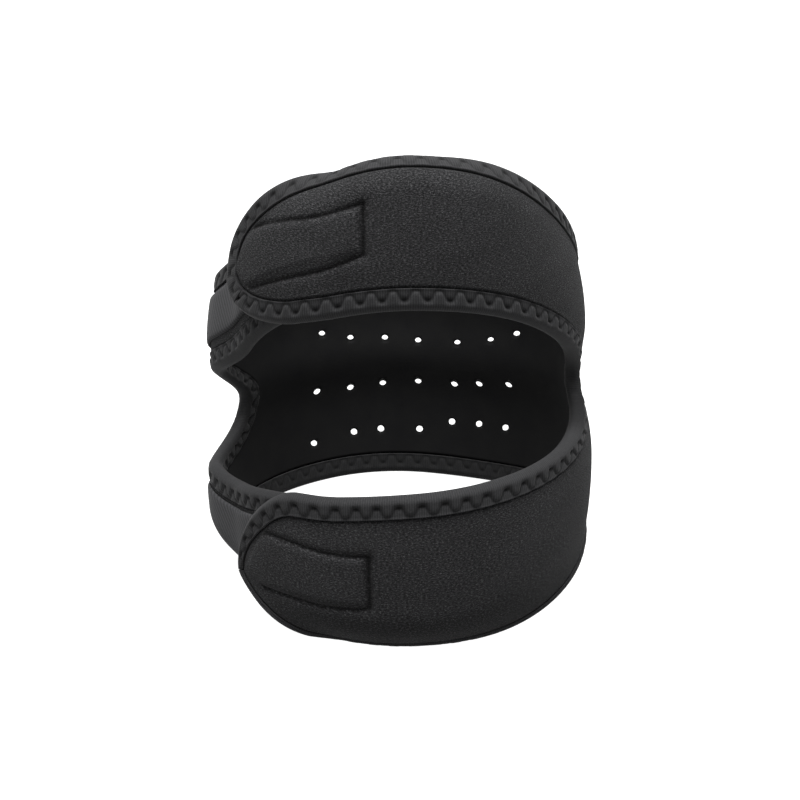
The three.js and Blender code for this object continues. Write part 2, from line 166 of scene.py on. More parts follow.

# Stitched patch outlines on the bands: their thread and the painted shade along it, and the (depth,
# width) of what it presses in
PATCH_STITCH_PITCH = 1.9
PATCH_DASH_DEPTH = 0.28
PATCH_LINE_WIDTH = 0.42
PATCH_END_WIDTH = 2.2 * PATCH_LINE_WIDTH
PATCH_END_SHADE = 0.97
PATCH_GROOVES = ((0.75, 0.55), (0.35, 1.3))
PATCH_END_DIP = (0.5, 1.9)
PATCH_LAST_TURN = -5.0
PUFF_START = -0.3
PUFF_HEIGHT = 0.45
PUFF_RAMP = 2.5

# Faces of the wall: the crown across a band, and the waves that make cloth a little uneven
CROWN_HEIGHT = 0.55
BACK_CROWN_SHARE = 0.4
BACK_START = 100.0
TIP_EASE = 2.0
SLOW_WAVES = dict(height=0.2, seed=3, size=38.0)
QUICK_WAVES = dict(height=0.07, seed=5, size=14.0, count=9)
LINING_WAVES = dict(height=0.2, seed=11, size=30.0)
STRAP_WAVES = dict(height=0.12, seed=17, size=22.0)

# Photograph: the camera that it was taken with, fitted to the loop, in the loop's own frame
PHOTO_PIXELS = 800
PHOTO_FOCAL_PIXELS = 1712.0
SENSOR_WIDTH = 36.0
CAMERA_DISTANCE = 560.0
CAMERA_AZIMUTH = -4.44
CAMERA_ELEVATION = 23.06
CAMERA_TARGET = (0.72, 6.0, 52.08)

# Light and floor, in metres and watts: an overhead softbox, and a surround that is dark below
SOFTBOX_PLACE = (0.0, -0.1, 1.2)
SOFTBOX_AIM = (0.0, 0.0, 0.07)
SOFTBOX_SIZE = (0.9, 0.7)
SOFTBOX_WATTS = 34.0
SURROUND_LIGHT = 0.7
LIGHT_FROM_BELOW = 0.06
HORIZON_BLEND = -0.25
FLOOR_GLOW = 1.0
FLOOR_HALF = 3.0

# Mesh density: columns across the patches, the rest of the bands, the back and the arms
PATCH_COLUMNS = 84
FRONT_COLUMNS = 72
BACK_COLUMNS = 96
ARM_COLUMNS = 76
WALL_ROWS = 56
STRAP_GRID = (130, 34)
HOOK_GRID = (90, 30)
TAPE_STEP = 0.36
COLUMN_CROWDING = 0.8
FRONT_CROWDING = 0.3
PAST_PATCH = 4.0
# A section's neighbouring points stay this many mm apart; closer points and shorter edges, in
# metres, are merged and dissolved
POINT_STEP = 0.02
MERGE_DISTANCE = 2e-6
SHORTEST_EDGE = 1e-7

APEX_TURN = OPENING["centre"] + OPENING["reach"]
HALF_WALL = WALL_THICKNESS / 2
HALF_PRESSED = PRESSED_THICKNESS / 2
HALF_TAPE_GAP = HALF_PRESSED + CLEARANCE
HALF_ROLL = HALF_TAPE_GAP + TAPE_THICKNESS
EDGE_FIELD = TAPE_LEG + CLEARANCE + RAMP_WIDTH
LAP_GAPS = CLEARANCE + HOOK_CLEARANCE + LAP_CLEARANCE
LAP_DEPTH = WALL_THICKNESS + HOOK_THICKNESS + STRAP_THICKNESS + LAP_GAPS
ARM_STEP_IN = LAP_DEPTH - BAND_STAND_OFF
DEGREES_PER_MM = 180 / math.pi / LOWER_HALF_WIDTH
MM = 0.001


# The loop's surface

def mix(a, b, share):
    """a at share 0, b at share 1."""
    return a + (b - a) * share


def ease(value, start, end):
    """0 before start, 1 after end, with a smooth cubic between."""
    share = np.clip((value - start) / (end - start), 0, 1)
    return share * share * (3 - 2 * share)


def bell(distance, width):
    """1 at distance 0, falling away on both sides: e to minus the square of distance over width."""
    return np.exp(-((distance / width) ** 2))


def roll_share(turn, row):
    """Eases up from row[0] to row[1] and down from row[2] to row[3]."""
    return ease(turn, row[0], row[1]) * (1 - ease(turn, row[2], row[3]))


def top_roll(turn):
    """Angle by which the upper rim rolls inwards, in radians."""
    return np.radians(FLAT_ROLL_DEGREES + TOP_ROLL_DEGREES * roll_share(turn, TOP_FRONT_ROLL))


def bottom_roll(turn):
    """Angle by which the lower rim rolls inwards, in radians."""
    share = np.maximum(roll_share(turn, BOTTOM_FRONT_ROLL), roll_share(turn, LEFT_ROLL))
    return np.radians(FLAT_ROLL_DEGREES + BOTTOM_ROLL_DEGREES * share)


def loop_height(turn):
    """Height of the upper hoop over the lower: constant + cosine + double cosine of the turn, and a
    rise at the front's shoulders, the square of the double angle's sine."""
    angle = np.radians(turn)
    middle = (FRONT_HEIGHT + BACK_HEIGHT) / 4 + SIDE_HEIGHT / 2
    tilt = (FRONT_HEIGHT - BACK_HEIGHT) / 2
    dip = (FRONT_HEIGHT + BACK_HEIGHT) / 4 - SIDE_HEIGHT / 2
    shoulder = SHOULDER_RISE * np.sin(2 * angle) ** 2 * (1 + np.cos(angle)) / 2
    return middle + tilt * np.cos(angle) + dip * np.cos(2 * angle) + shoulder


def unit(vectors):
    """Vectors scaled to length 1 along the last axis."""
    return vectors / np.linalg.norm(vectors, axis=-1, keepdims=True)


def dot(a, b):
    """Dot product along the last axis, which is kept."""
    return (a * b).sum(-1, keepdims=True)


def loop_slice(turn):
    """Foot, upward direction, normal and length of the wall's straight slice at each turn: from
    the lower hoop to the upper one, the foot raised so that the rolled rim just stands on z = 0."""
    sine, cosine = np.sin(np.radians(turn)), np.cos(np.radians(turn))
    out = np.stack([sine, -cosine, 0 * sine], -1)
    lift = np.where(sine > 0, RIGHT_LIFT, LEFT_LIFT) * sine**4
    foot_depth = -LOWER_SET_FORWARD - LOWER_HALF_DEPTH * cosine
    foot = np.stack([LOWER_HALF_WIDTH * sine, foot_depth, lift], -1)
    head_depth = UPPER_SET_BACK - UPPER_HALF_DEPTH * cosine
    head = np.stack([UPPER_HALF_WIDTH * sine, head_depth, loop_height(turn)], -1)
    length = np.linalg.norm(head - foot, axis=-1)
    along = unit(head - foot)
    normal = unit(out - along * dot(out, along))
    roll = bottom_roll(turn)
    radius, bend = BOTTOM_ZONE / roll, roll * (1 - HALF_ROLL / BOTTOM_ZONE)
    drop, inward = BOTTOM_ZONE - radius * np.sin(bend), radius * (1 - np.cos(bend))
    foot[..., 2] += HALF_ROLL - drop * along[..., 2] + inward * normal[..., 2]
    return foot, along, normal, length


def stand_off(turn):
    """Distance of the wall from the plain loop: bands a little out, arms a lap's depth in."""
    bands = BAND_STAND_OFF * (1 - ease(turn, *BAND_OUT))
    return np.where(turn < 180, bands, -ARM_STEP_IN * ease(turn, *TUCK))


def wall_point(turn, share, distance):
    """Point at a turn, a share of the wall's height and a distance out of its middle surface. Within
    a zone at foot and head the straight slice bends inwards on an arc: along by R sin, in by
    R (1 - cos), with the facing turned by the same angle."""
    turn, share, distance = np.broadcast_arrays(*(np.asarray(v, float) for v in (turn, share, distance)))
    foot, along, normal, length = loop_slice(turn)
    up = share * length
    waisted = WAIST * bell(share - WAIST_SHARE, WAIST_SPREAD)
    shift = stand_off(turn) + BELLY * 4 * share * (1 - share) - waisted
    over = np.maximum(up - (length - TOP_ZONE), 0)
    under = np.maximum(BOTTOM_ZONE - up, 0)
    radius = np.where(over > 0, TOP_ZONE / top_roll(turn), BOTTOM_ZONE / bottom_roll(turn))
    bend = (over + under) / radius
    side = np.where(over > 0, 1.0, -1.0)
    straight = np.clip(up, BOTTOM_ZONE, length - TOP_ZONE)
    rise = straight + side * radius * np.sin(bend)
    inward = radius * (1 - np.cos(bend))
    facing = normal * np.cos(bend)[..., None] + along * (side * np.sin(bend))[..., None]
    middle = foot + along * rise[..., None] + normal * (shift - inward)[..., None]
    return middle + facing * distance[..., None]


def round_off(reach, power):
    """Superellipse profile, 1 along the straight part and 0 at the end: the root of 1 minus the
    reach to the power."""
    return (1 - np.clip(reach, 0, 1) ** power) ** (1 / power)


def opening_middle(turn):
    """Height share of the opening's middle line: a straight line over the turn."""
    return OPENING_MIDDLE[0] + OPENING_MIDDLE[1] * turn


def notch_middle(turn):
    """Height share of the notch's middle line: easing up from one share to another."""
    return mix(NOTCH_MIDDLE[0], NOTCH_MIDDLE[1], ease(turn, NOTCH_MIDDLE[2], NOTCH_MIDDLE[3]))


FIELD_DEGREES = EDGE_FIELD * DEGREES_PER_MM
OPENING_END = OPENING["centre"] + OPENING["reach"] + FIELD_DEGREES
NOTCH_END = NOTCH["centre"] - NOTCH["reach"] - FIELD_DEGREES


def back_middle(turn):
    """Line between the halves of the back, from the opening's end to the notch's end."""
    return mix(opening_middle(OPENING_END), notch_middle(NOTCH_END), ease(turn, OPENING_END, NOTCH_END))


def inner_edge(turn, inset, sign):
    """Edge towards the opening or the notch, inset mm inside the bound outline, as a height share."""
    margin = inset / loop_height(turn)
    reach = (turn - OPENING["centre"]) / (OPENING["reach"] + inset * DEGREES_PER_MM)
    front = (OPENING["half_share"] + margin) * round_off(reach, OPENING["power"])
    reach = (NOTCH["centre"] - turn) / (NOTCH["reach"] + inset * DEGREES_PER_MM)
    slope = ARM_EDGE["upper_rise"] if sign > 0 else -ARM_EDGE["lower_rise"]
    left = (NOTCH["half_share"] + margin) * round_off(reach, NOTCH["power"])
    left = left + slope * ease(turn, ARM_EDGE["start"], ARM_EDGE["end"])
    return np.where(turn < 180, opening_middle(turn) + sign * front, notch_middle(turn) + sign * left)


def outer_edge(turn, inset, sign):
    """Edge at the loop's rim, drawn in on the arms, as a height share."""
    drawn_in = ARM_TAPER[2] * ease(turn, ARM_TAPER[0], ARM_TAPER[1]) + inset / loop_height(turn)
    return 1 - drawn_in if sign > 0 else drawn_in


def tip_reach(turn, inset, tip):
    """How far a turn has gone into a rounded end, as a share of that end: turns past its start over
    its length, less the inset."""
    length = abs(tip["tip"] - tip["start"]) - inset * DEGREES_PER_MM
    return np.sign(tip["tip"] - tip["start"]) * (turn - tip["start"]) / length


def edges(turn, inset, band, sign):
    """Inner and outer edge of a half at a turn, drawn together at its rounded ends."""
    inner, outer = inner_edge(turn, inset, sign), outer_edge(turn, inset, sign)
    for tip in (band, ARM):
        reach = tip_reach(turn, inset, tip)
        middle = mix(inner, outer, tip["centre_share"])
        inner = mix(middle, inner, round_off(reach, tip["power"]))
        outer = mix(middle, outer, round_off(reach, tip["outer_power"]))
    return inner, outer


# Columns and the outline's stations

def crowded(start, end, count, at_start=1.0, at_end=1.0):
    """count + 1 turns from start to end, crowded towards the ends by a cosine."""
    share = np.linspace(0, 1, count + 1)
    first = share - COLUMN_CROWDING * at_start * np.sin(np.pi * share) / np.pi
    last = share + COLUMN_CROWDING * at_end * np.sin(np.pi * share) / np.pi
    return mix(start, end, mix(first, last, share))


def half_turns(band):
    """Turns of a half's columns, from its band's tip through the back to its arm's end."""
    patch_end = HOOK_TURNS[1] + PAST_PATCH
    patch = crowded(band["tip"] + FIELD_DEGREES, patch_end, PATCH_COLUMNS, at_end=0)
    front = crowded(patch_end, OPENING_END, FRONT_COLUMNS, at_start=FRONT_CROWDING)
    back = np.linspace(OPENING_END, NOTCH_END, BACK_COLUMNS + 1)
    arms = crowded(NOTCH_END, ARM["tip"] - FIELD_DEGREES, ARM_COLUMNS)
    return np.concatenate([patch, front[1:], back[1:], arms[1:]])


APEX_COLUMN = PATCH_COLUMNS + FRONT_COLUMNS
NOTCH_COLUMN = APEX_COLUMN + BACK_COLUMNS


def column_edges(turns, band, sign):
    """Inner and outer shares where the edge field starts; at the back the inner is the middle line."""
    inner, outer = edges(turns, EDGE_FIELD, band, sign)
    column = np.arange(len(turns))
    at_back = (column >= APEX_COLUMN) & (column <= NOTCH_COLUMN)
    return np.where(at_back, back_middle(turns), inner), outer


def half_stations(turns, band, sign, along_outer):
    """Stations of one edge of a half, as rows of (turn, share, rim turn, rim share)."""
    inner, outer = column_edges(turns, band, sign)
    band_end = np.clip(tip_reach(turns, EDGE_FIELD, band), 0, 1)
    arm_end = np.clip(tip_reach(turns, EDGE_FIELD, ARM), 0, 1)
    drawn = FIELD_DEGREES * (arm_end**2 - band_end**2)
    if not along_outer:
        opening_reach = np.clip((turns - OPENING["centre"]) / (OPENING["reach"] + FIELD_DEGREES), 0, 1)
        notch_reach = np.clip((NOTCH["centre"] - turns) / (NOTCH["reach"] + FIELD_DEGREES), 0, 1)
        drawn = drawn - FIELD_DEGREES * np.where(turns < 180, opening_reach**4, -(notch_reach**4))
    rim = edges(turns + drawn, 0.0, band, sign)
    share, rim_share = (outer, rim[1]) if along_outer else (inner, rim[0])
    return np.stack([turns, share, turns + drawn, rim_share], -1)


UPPER_TURNS = half_turns(UPPER_BAND)
LOWER_TURNS = half_turns(LOWER_BAND)


def outline_runs():
    """The six runs of the outline, anticlockwise from outside, each without its last station."""
    lower = half_stations(LOWER_TURNS, LOWER_BAND, -1, True)
    lower_inner = half_stations(LOWER_TURNS, LOWER_BAND, -1, False)
    upper = half_stations(UPPER_TURNS, UPPER_BAND, 1, True)
    upper_inner = half_stations(UPPER_TURNS, UPPER_BAND, 1, False)
    return [
        lower[:-1],
        lower_inner[NOTCH_COLUMN + 1:][::-1],
        upper_inner[NOTCH_COLUMN:-1],
        upper[1:][::-1],
        upper_inner[:APEX_COLUMN],
        lower_inner[1:APEX_COLUMN + 1][::-1],
    ]


def section_places(stations, depth):
    """Turn and share at a depth inside the bound outline: from the rim's to the station's own."""
    inward = depth / EDGE_FIELD
    turn = mix(stations[:, 2, None], stations[:, 0, None], inward)
    return turn, mix(stations[:, 3, None], stations[:, 1, None], inward)


def section_points(stations, depth, distance):
    """Points of the stations' sections: each at a depth inside the bound outline and a distance out
    of the wall. Both have the shape (stations, section points) or broadcast to it."""
    return wall_point(*section_places(stations, depth), distance)


# The frame: the loop's own origin is its lower hoop's centre, the part's is under its box's middle

def frame_shift():
    """The step from the loop's own frame to the part's: the middle of the wall's box in each."""
    turn = np.concatenate([UPPER_TURNS, LOWER_TURNS])[:, None]
    points = wall_point(turn, np.linspace(0.0, 1.0, 60), HALF_PRESSED).reshape(-1, 3)
    low, high = (np.array(corner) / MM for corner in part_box("padded_wall"))
    shift = (low + high) / 2 - (points.min(0) + points.max(0)) / 2
    shift[2] = -FLOOR_PRESS
    return shift


SHIFT = frame_shift()


def to_part(points):
    """Loop frame in millimetres to the part's frame in metres."""
    return (np.asarray(points) + SHIFT) * MM


# Meshes

def grid_faces(columns, rows, first=0, flip=False, closed=False):
    """Quads over a columns x rows grid of vertices numbered row by row within each column."""
    i = np.arange(columns if closed else columns - 1)[:, None]
    j = np.arange(rows - 1)[None, :]
    here, there = i * rows + j, ((i + 1) % columns) * rows + j
    quads = np.stack([here, there, there + 1, here + 1], -1).reshape(-1, 4) + first
    return quads[:, ::-1] if flip else quads


def mesh_object(name, blocks):
    """One object from blocks of (points in mm, faces, flat places in mm, material index). Vertices of
    different blocks that fall together are merged; the flat places become the attribute flat_mm."""
    points, faces, flats, slots, first = [], [], [], [], 0
    for block_points, block_faces, block_flat, slot in blocks:
        points.append(to_part(block_points).reshape(-1, 3))
        flats.append(np.asarray(block_flat, float).reshape(-1, 3))
        for face in block_faces:
            faces.append([index + first for index in face])
        slots.extend([slot] * len(block_faces))
        first += len(points[-1])
    mesh = bpy.data.meshes.new(name)
    mesh.from_pydata(np.concatenate(points), [], faces)
    mesh.attributes.new("flat_mm", "FLOAT_VECTOR", "POINT")
    mesh.attributes["flat_mm"].data.foreach_set("vector", np.concatenate(flats).ravel())
    mesh.polygons.foreach_set("material_index", slots)
    work = bmesh.new()
    work.from_mesh(mesh)
    bmesh.ops.remove_doubles(work, verts=work.verts, dist=MERGE_DISTANCE)
    bmesh.ops.dissolve_degenerate(work, edges=work.edges, dist=SHORTEST_EDGE)
    work.to_mesh(mesh)
    work.free()
    mesh.polygons.foreach_set("use_smooth", [True] * len(mesh.polygons))
    mesh.update()
    piece = bpy.data.objects.new(name, mesh)
    bpy.context.scene.collection.objects.link(piece)
    return piece


def flat_places(turn, share):
    """Flat-cut coordinates in mm, arc length round the loop and height, and a painted shade of 0."""
    turn, share = np.broadcast_arrays(turn, share)
    return np.stack([turn / DEGREES_PER_MM, share * loop_height(turn), 0 * turn], -1)


def waves(turn, share, height, seed, size, count=7):
    """Smooth unevenness up to height: a mean of plane waves of about the given size in mm."""
    draw = np.random.default_rng(seed)
    place = flat_places(turn, share)
    total = 0
    for _ in range(count):
        angle, phase, scale = draw.uniform(0, np.pi), draw.uniform(0, 2 * np.pi), draw.uniform(0.7, 1.5)
        run = place[..., 0] * math.cos(angle) + place[..., 1] * math.sin(angle)
        total = total + np.sin(2 * np.pi * run / (size * scale) + phase)
    return height * (total / count)


def camera_place():
    """The camera's place in the loop's frame, in mm: its target plus its distance in the direction
    of its azimuth and elevation."""
    azimuth, elevation = math.radians(CAMERA_AZIMUTH), math.radians(CAMERA_ELEVATION)
    level = math.cos(elevation)
    back = np.array([math.sin(azimuth) * level, -math.cos(azimuth) * level, math.sin(elevation)])
    return np.array(CAMERA_TARGET) + CAMERA_DISTANCE * back


# Stitched patch outlines on the bands

def patch_corners(hook):
    """The stitched outline as flat places in mm: along the top, down the inner end, back below."""
    start, end = HOOK_TURNS
    low, high = hook["low"], hook["high"]
    places = [(start, high[0]), (end, high[1]), (end, low[1]), (start, low[0])]
    return [flat_places(np.float64(turn), np.float64(share))[:2] for turn, share in places]


def distance_to_lines(place, corners):
    """Distance in mm from flat places to an open line through the corners."""
    nearest = np.full(place.shape[:-1], 1e9)
    for a, b in zip(corners[:-1], corners[1:]):
        run = b - a
        share = np.clip(((place[..., :2] - a) * run).sum(-1) / (run * run).sum(), 0, 1)
        nearest = np.minimum(nearest, np.linalg.norm(place[..., :2] - a - share[..., None] * run, axis=-1))
    return nearest


def patch_distances(turn, share, hook):
    """Distance in mm from the whole stitched outline, and from its inner end alone."""
    place, corners = flat_places(turn, share), patch_corners(hook)
    return distance_to_lines(place, corners), distance_to_lines(place, corners[1:3])


def patch_inside(turn, share, hook):
    """1 inside the stitched outline, easing to 0 at it."""
    along = np.clip((turn - HOOK_TURNS[0]) / (HOOK_TURNS[1] - HOOK_TURNS[0]), PUFF_START, 1)
    low = mix(hook["low"][0], hook["low"][1], along) * loop_height(turn)
    high = mix(hook["high"][0], hook["high"][1], along) * loop_height(turn)
    up = share * loop_height(turn)
    across = ease(up, low, low + PUFF_RAMP) * (1 - ease(up, high - PUFF_RAMP, high))
    end = (HOOK_TURNS[1] - turn) / DEGREES_PER_MM
    return across * ease(end, 0, PUFF_RAMP)


def patch_thread_and_shade(turn, share, hook):
    """Shade of the patch's stitching, 1 on its thread: a dashed thin line, the dark thread with painted
    shade in its groove, and a wider band of painted shade at the inner end.
    """
    far, from_end = patch_distances(turn, share, hook)
    stitch = np.cos(2 * np.pi * turn / DEGREES_PER_MM / PATCH_STITCH_PITCH)
    line = (1 - PATCH_DASH_DEPTH * (1 - stitch)) * bell(far, PATCH_LINE_WIDTH)
    end = PATCH_END_SHADE * bell(from_end, PATCH_END_WIDTH)
    return np.where(turn < PATCH_LAST_TURN, np.maximum(line, end), 0)


def across_half(turn, share, inner, outer):
    """How far a place lies from its half's middle line, 0 there and 1 at both edges, and a share
    that is 1 well inside and 0 at the border and at a tip, where both edges meet."""
    middle, half = (inner + outer) / 2, np.abs(outer - inner) / 2 + 1e-6
    across = np.clip(np.abs(share - middle) / half, 0, 1)
    return across, (1 - across**8) * ease(half * loop_height(turn), 0, TIP_EASE)


def outer_relief(turn, share, inner, outer, hook):
    """How far the brushed face stands proud of the plain wall, in mm: a crown across the band, a
    slow unevenness, the puff of the stitched patch and the groove of its stitching, which is deeper
    and wider at the patch's inner end. Nothing stands proud at the border."""
    across, inside = across_half(turn, share, inner, outer)
    crown = CROWN_HEIGHT * (1 - across**2) * np.where(turn < BACK_START, 1.0, BACK_CROWN_SHARE)
    uneven = waves(turn, share, **SLOW_WAVES) + waves(turn, share, **QUICK_WAVES)
    far, from_end = patch_distances(turn, share, hook)
    groove = sum(depth * bell(far, width) for depth, width in PATCH_GROOVES)
    end_dip = PATCH_END_DIP[0] * bell(from_end, PATCH_END_DIP[1])
    puff = PUFF_HEIGHT * patch_inside(turn, share, hook)
    stitched = np.where(turn < PATCH_LAST_TURN, puff - groove - end_dip, 0)
    return (crown + uneven + stitched) * inside


def inner_relief(turn, share, inner, outer):
    """The lining's slow unevenness, in mm, inwards."""
    return waves(turn, share, **LINING_WAVES) * across_half(turn, share, inner, outer)[1]


def hole_slant(turn, share):
    """Where a perforation's outer end lies from its inner one, in mm along the loop and up, and how
    much it is stretched each way. The soft foam gives, so the holes lean towards the front and each
    lets the light through there as a round dot: the slant is the wall times the tangent of the line
    from the camera, and the stretch one over that line's share of each direction, within limits."""
    step = 0.5
    here = wall_point(np.float64(turn), np.float64(share), -HALF_WALL)
    along = unit(wall_point(np.float64(turn + step), np.float64(share), -HALF_WALL) - here)
    up = unit(wall_point(np.float64(turn), np.float64(share + step / 100), -HALF_WALL) - here)
    normal = unit(wall_point(np.float64(turn), np.float64(share), HALF_WALL) - here)
    ray = unit(here - camera_place())
    reach = WALL_THICKNESS / max(float((ray * normal).sum()), LEAST_FACING)
    sideways = np.array([(ray * along).sum(), (ray * up).sum()])
    slant = np.clip(sideways * reach, -HOLE_SLANT_LIMIT, HOLE_SLANT_LIMIT)
    return slant, np.minimum(1 / np.sqrt(1 - sideways**2), HOLE_STRETCH_LIMIT)


def hole_patch(block_turn, block_share, centre_turn, centre_share, relief_out, relief_in):
    """Replaces a block of the grid round a perforation: rings from the block's border in to the
    hole's rim on both faces, with a slight dimple, and the hole's slanting wall between them."""
    border = np.concatenate([
        np.stack([block_turn[:-1, 0], block_share[:-1, 0]], -1),
        np.stack([block_turn[-1, :-1], block_share[-1, :-1]], -1),
        np.stack([block_turn[1:, -1], block_share[1:, -1]], -1)[::-1],
        np.stack([block_turn[0, 1:], block_share[0, 1:]], -1)[::-1],
    ])
    height = loop_height(centre_turn)
    away = (border - [centre_turn, centre_share]) * [1 / DEGREES_PER_MM, height]
    slant, stretch = hole_slant(centre_turn, centre_share)
    rim = unit(away) * HOLE_DIAMETER / 2 * stretch
    steps = np.array(RING_PLACES)[:, None]
    dimple = DIMPLE_DEPTH * bell(1 - steps[:, 0], DIMPLE_WIDTH)
    dimple[0] = 0

    def face(offset):
        rings = mix(away[:, None], (rim + offset)[:, None], steps)
        return centre_turn + rings[..., 0] * DEGREES_PER_MM, centre_share + rings[..., 1] / height

    out_turn, out_up = face(slant / 2)
    in_turn, in_up = face(-slant / 2)
    outside = HALF_WALL + relief_out(out_turn, out_up) - dimple
    inside = -HALF_WALL - relief_in(in_turn, in_up) + dimple
    depth = np.linspace(0, 1, 4)
    tube = mix(outside[:, -1:], inside[:, -1:], depth)
    tube_turn = mix(out_turn[:, -1:], in_turn[:, -1:], depth)
    tube_up = mix(out_up[:, -1:], in_up[:, -1:], depth)
    blocks = []
    for turn, share, distance, flip, slot in (
        (out_turn, out_up, outside, False, 0),
        (in_turn, in_up, inside, True, 1),
        (tube_turn, tube_up, tube, False, 1),
    ):
        quads = grid_faces(len(border), turn.shape[1], flip=flip, closed=True)
        blocks.append((wall_point(turn, share, distance), quads, flat_places(turn, share), slot))
    return blocks


def wall_half_blocks(turns, band, sign, hook, holes):
    """Outer and inner faces of one half as grids between its edge lines, opened round the holes."""
    inner, outer = column_edges(turns, band, sign)
    low, high = (inner, outer) if sign > 0 else (outer, inner)
    share = mix(low[:, None], high[:, None], np.linspace(0, 1, WALL_ROWS + 1))
    turn = np.repeat(turns[:, None], WALL_ROWS + 1, 1)
    edge_in, edge_out = inner[:, None], outer[:, None]
    outside = HALF_WALL + outer_relief(turn, share, edge_in, edge_out, hook)
    inside = -HALF_WALL - inner_relief(turn, share, edge_in, edge_out)

    def edges_at(t):
        return [np.interp(t, turns, line) for line in (inner, outer)]

    def relief_out(t, s):
        return outer_relief(t, s, *edges_at(t), hook)

    def relief_in(t, s):
        return inner_relief(t, s, *edges_at(t))

    keep = np.ones((len(turns) - 1, WALL_ROWS), bool)
    blocks = []
    for hole_turn, hole_share in holes:
        near = np.abs(turns - hole_turn) / DEGREES_PER_MM < HOLE_BLOCK[0]
        i0, i1 = np.flatnonzero(near)[[0, -1]]
        row = np.abs(share[(i0 + i1) // 2] - hole_share) * loop_height(hole_turn) < HOLE_BLOCK[1]
        j0, j1 = np.flatnonzero(row)[[0, -1]]
        keep[i0:i1, j0:j1] = False
        cut = (slice(i0, i1 + 1), slice(j0, j1 + 1))
        blocks += hole_patch(turn[cut], share[cut], hole_turn, hole_share, relief_out, relief_in)
    flat = flat_places(turn, share)
    # The outer face's flat places carry in z the patch's dark thread and the painted shade along it
    stitched = flat.copy()
    stitched[..., 2] = patch_thread_and_shade(turn, share, hook)
    for distance, places, flip, slot in ((outside, stitched, False, 0), (inside, flat, True, 1)):
        quads = grid_faces(len(turns), WALL_ROWS + 1, flip=flip)[keep.ravel()]
        blocks.append((wall_point(turn, share, distance), quads, places, slot))
    return blocks


def outer_leg(stations):
    """How far the tape reaches in from the rim on the outer face, in mm: all its leg, easing to a
    narrow one along the lower band's foot, where the fabric is carried on over it."""
    low = 1 - ease(stations[:, 1], *NARROW_LEG_SHARES)
    return mix(TAPE_LEG, NARROW_LEG, low * (1 - ease(stations[:, 0], *NARROW_LEG_TURNS)))


def margin_block():
    """The wall's edge all round its outline: a rounded shoulder down to the pressed margin, which
    runs under the binding to a rounded rim, and back up on the lining side."""
    stations = np.concatenate(outline_runs())
    ramp = np.linspace(0, 1, 5)
    down = HALF_PRESSED + (HALF_WALL - HALF_PRESSED) * np.sqrt(1 - ramp**2)
    shoulder = EDGE_FIELD - RAMP_WIDTH * ramp
    # Under a narrow leg the shoulder is drawn out to the rim, and the pressed margin with it
    drawn = (outer_leg(stations) - TAPE_LEG)[:, None]
    outer_depth = np.concatenate([
        np.full_like(drawn, EDGE_FIELD),
        shoulder - POINT_STEP + drawn,
        mix(MARGIN_MIDDLE, HALF_ROLL, drawn / (NARROW_LEG - TAPE_LEG)),
        np.full_like(drawn, HALF_ROLL - POINT_STEP),
    ], 1)
    inner_depth = np.concatenate([[HALF_ROLL - HALF_PRESSED, HALF_ROLL, MARGIN_MIDDLE], shoulder[::-1]])
    depths = np.concatenate([outer_depth, np.tile(inner_depth, (len(stations), 1))], 1)
    outer_side = np.concatenate([[HALF_WALL], down, [HALF_PRESSED, HALF_PRESSED]])
    distances = np.concatenate([outer_side, [0.0, -HALF_PRESSED, -HALF_PRESSED], -down[::-1]])
    turn, share = section_places(stations, depths)
    points, flat = wall_point(turn, share, distances), flat_places(turn, share)
    quads = grid_faces(len(stations), len(distances), flip=True, closed=True)
    lining = np.tile(np.arange(len(distances) - 1) >= len(outer_side), len(stations))
    return [(points, quads[~lining], flat, 0), (points, quads[lining], flat, 1)]


def padded_wall():
    """The whole padded wall: both halves' faces, the margin and the perforations, one closed body."""
    holes = [hole for turns, shares in HOLE_ROWS for hole in zip(turns, shares)]
    upper = [hole for hole in holes if hole[1] > back_middle(hole[0])]
    lower = [hole for hole in holes if hole[1] <= back_middle(hole[0])]
    blocks = wall_half_blocks(UPPER_TURNS, UPPER_BAND, 1, UPPER_HOOK, upper)
    blocks += wall_half_blocks(LOWER_TURNS, LOWER_BAND, -1, LOWER_HOOK, lower)
    blocks += margin_block()
    return mesh_object("padded_wall_dressed", blocks)


# Edge tape

def resampled(stations, step, start=0.0, end=0.0):
    """Stations spaced evenly along the tape's middle, drawn back at both ends, and each one's run."""
    middle = section_points(stations, TAPE_LEG / 2, 0.0)[:, 0]
    run = np.concatenate([[0], np.cumsum(np.linalg.norm(np.diff(middle, axis=0), axis=1))])
    count = int((run[-1] - start - end) / step)
    places = np.linspace(start, run[-1] - end, count + 1)
    return np.stack([np.interp(places, run, stations[:, k]) for k in range(4)], -1), places


def zigzag_line(run):
    """Depth of the zigzag stitch line inside the rim, in mm, along the tape, its angle and its slope:
    an eased cosine between ZIGZAG_FAR and ZIGZAG_NEAR, a little uneven in pitch."""
    wobble = sum(size * np.sin(run / reach + phase) for size, reach, phase in PITCH_WOBBLES)
    angle = 2 * np.pi * (run / ZIGZAG_PITCH + wobble)
    lobe = ease(np.cos(angle), LOBE_START, 1.0)
    line = mix(ZIGZAG_FAR, ZIGZAG_NEAR, lobe)
    return line, angle, np.abs(np.gradient(line[:, 0], run[:, 0]))[:, None]


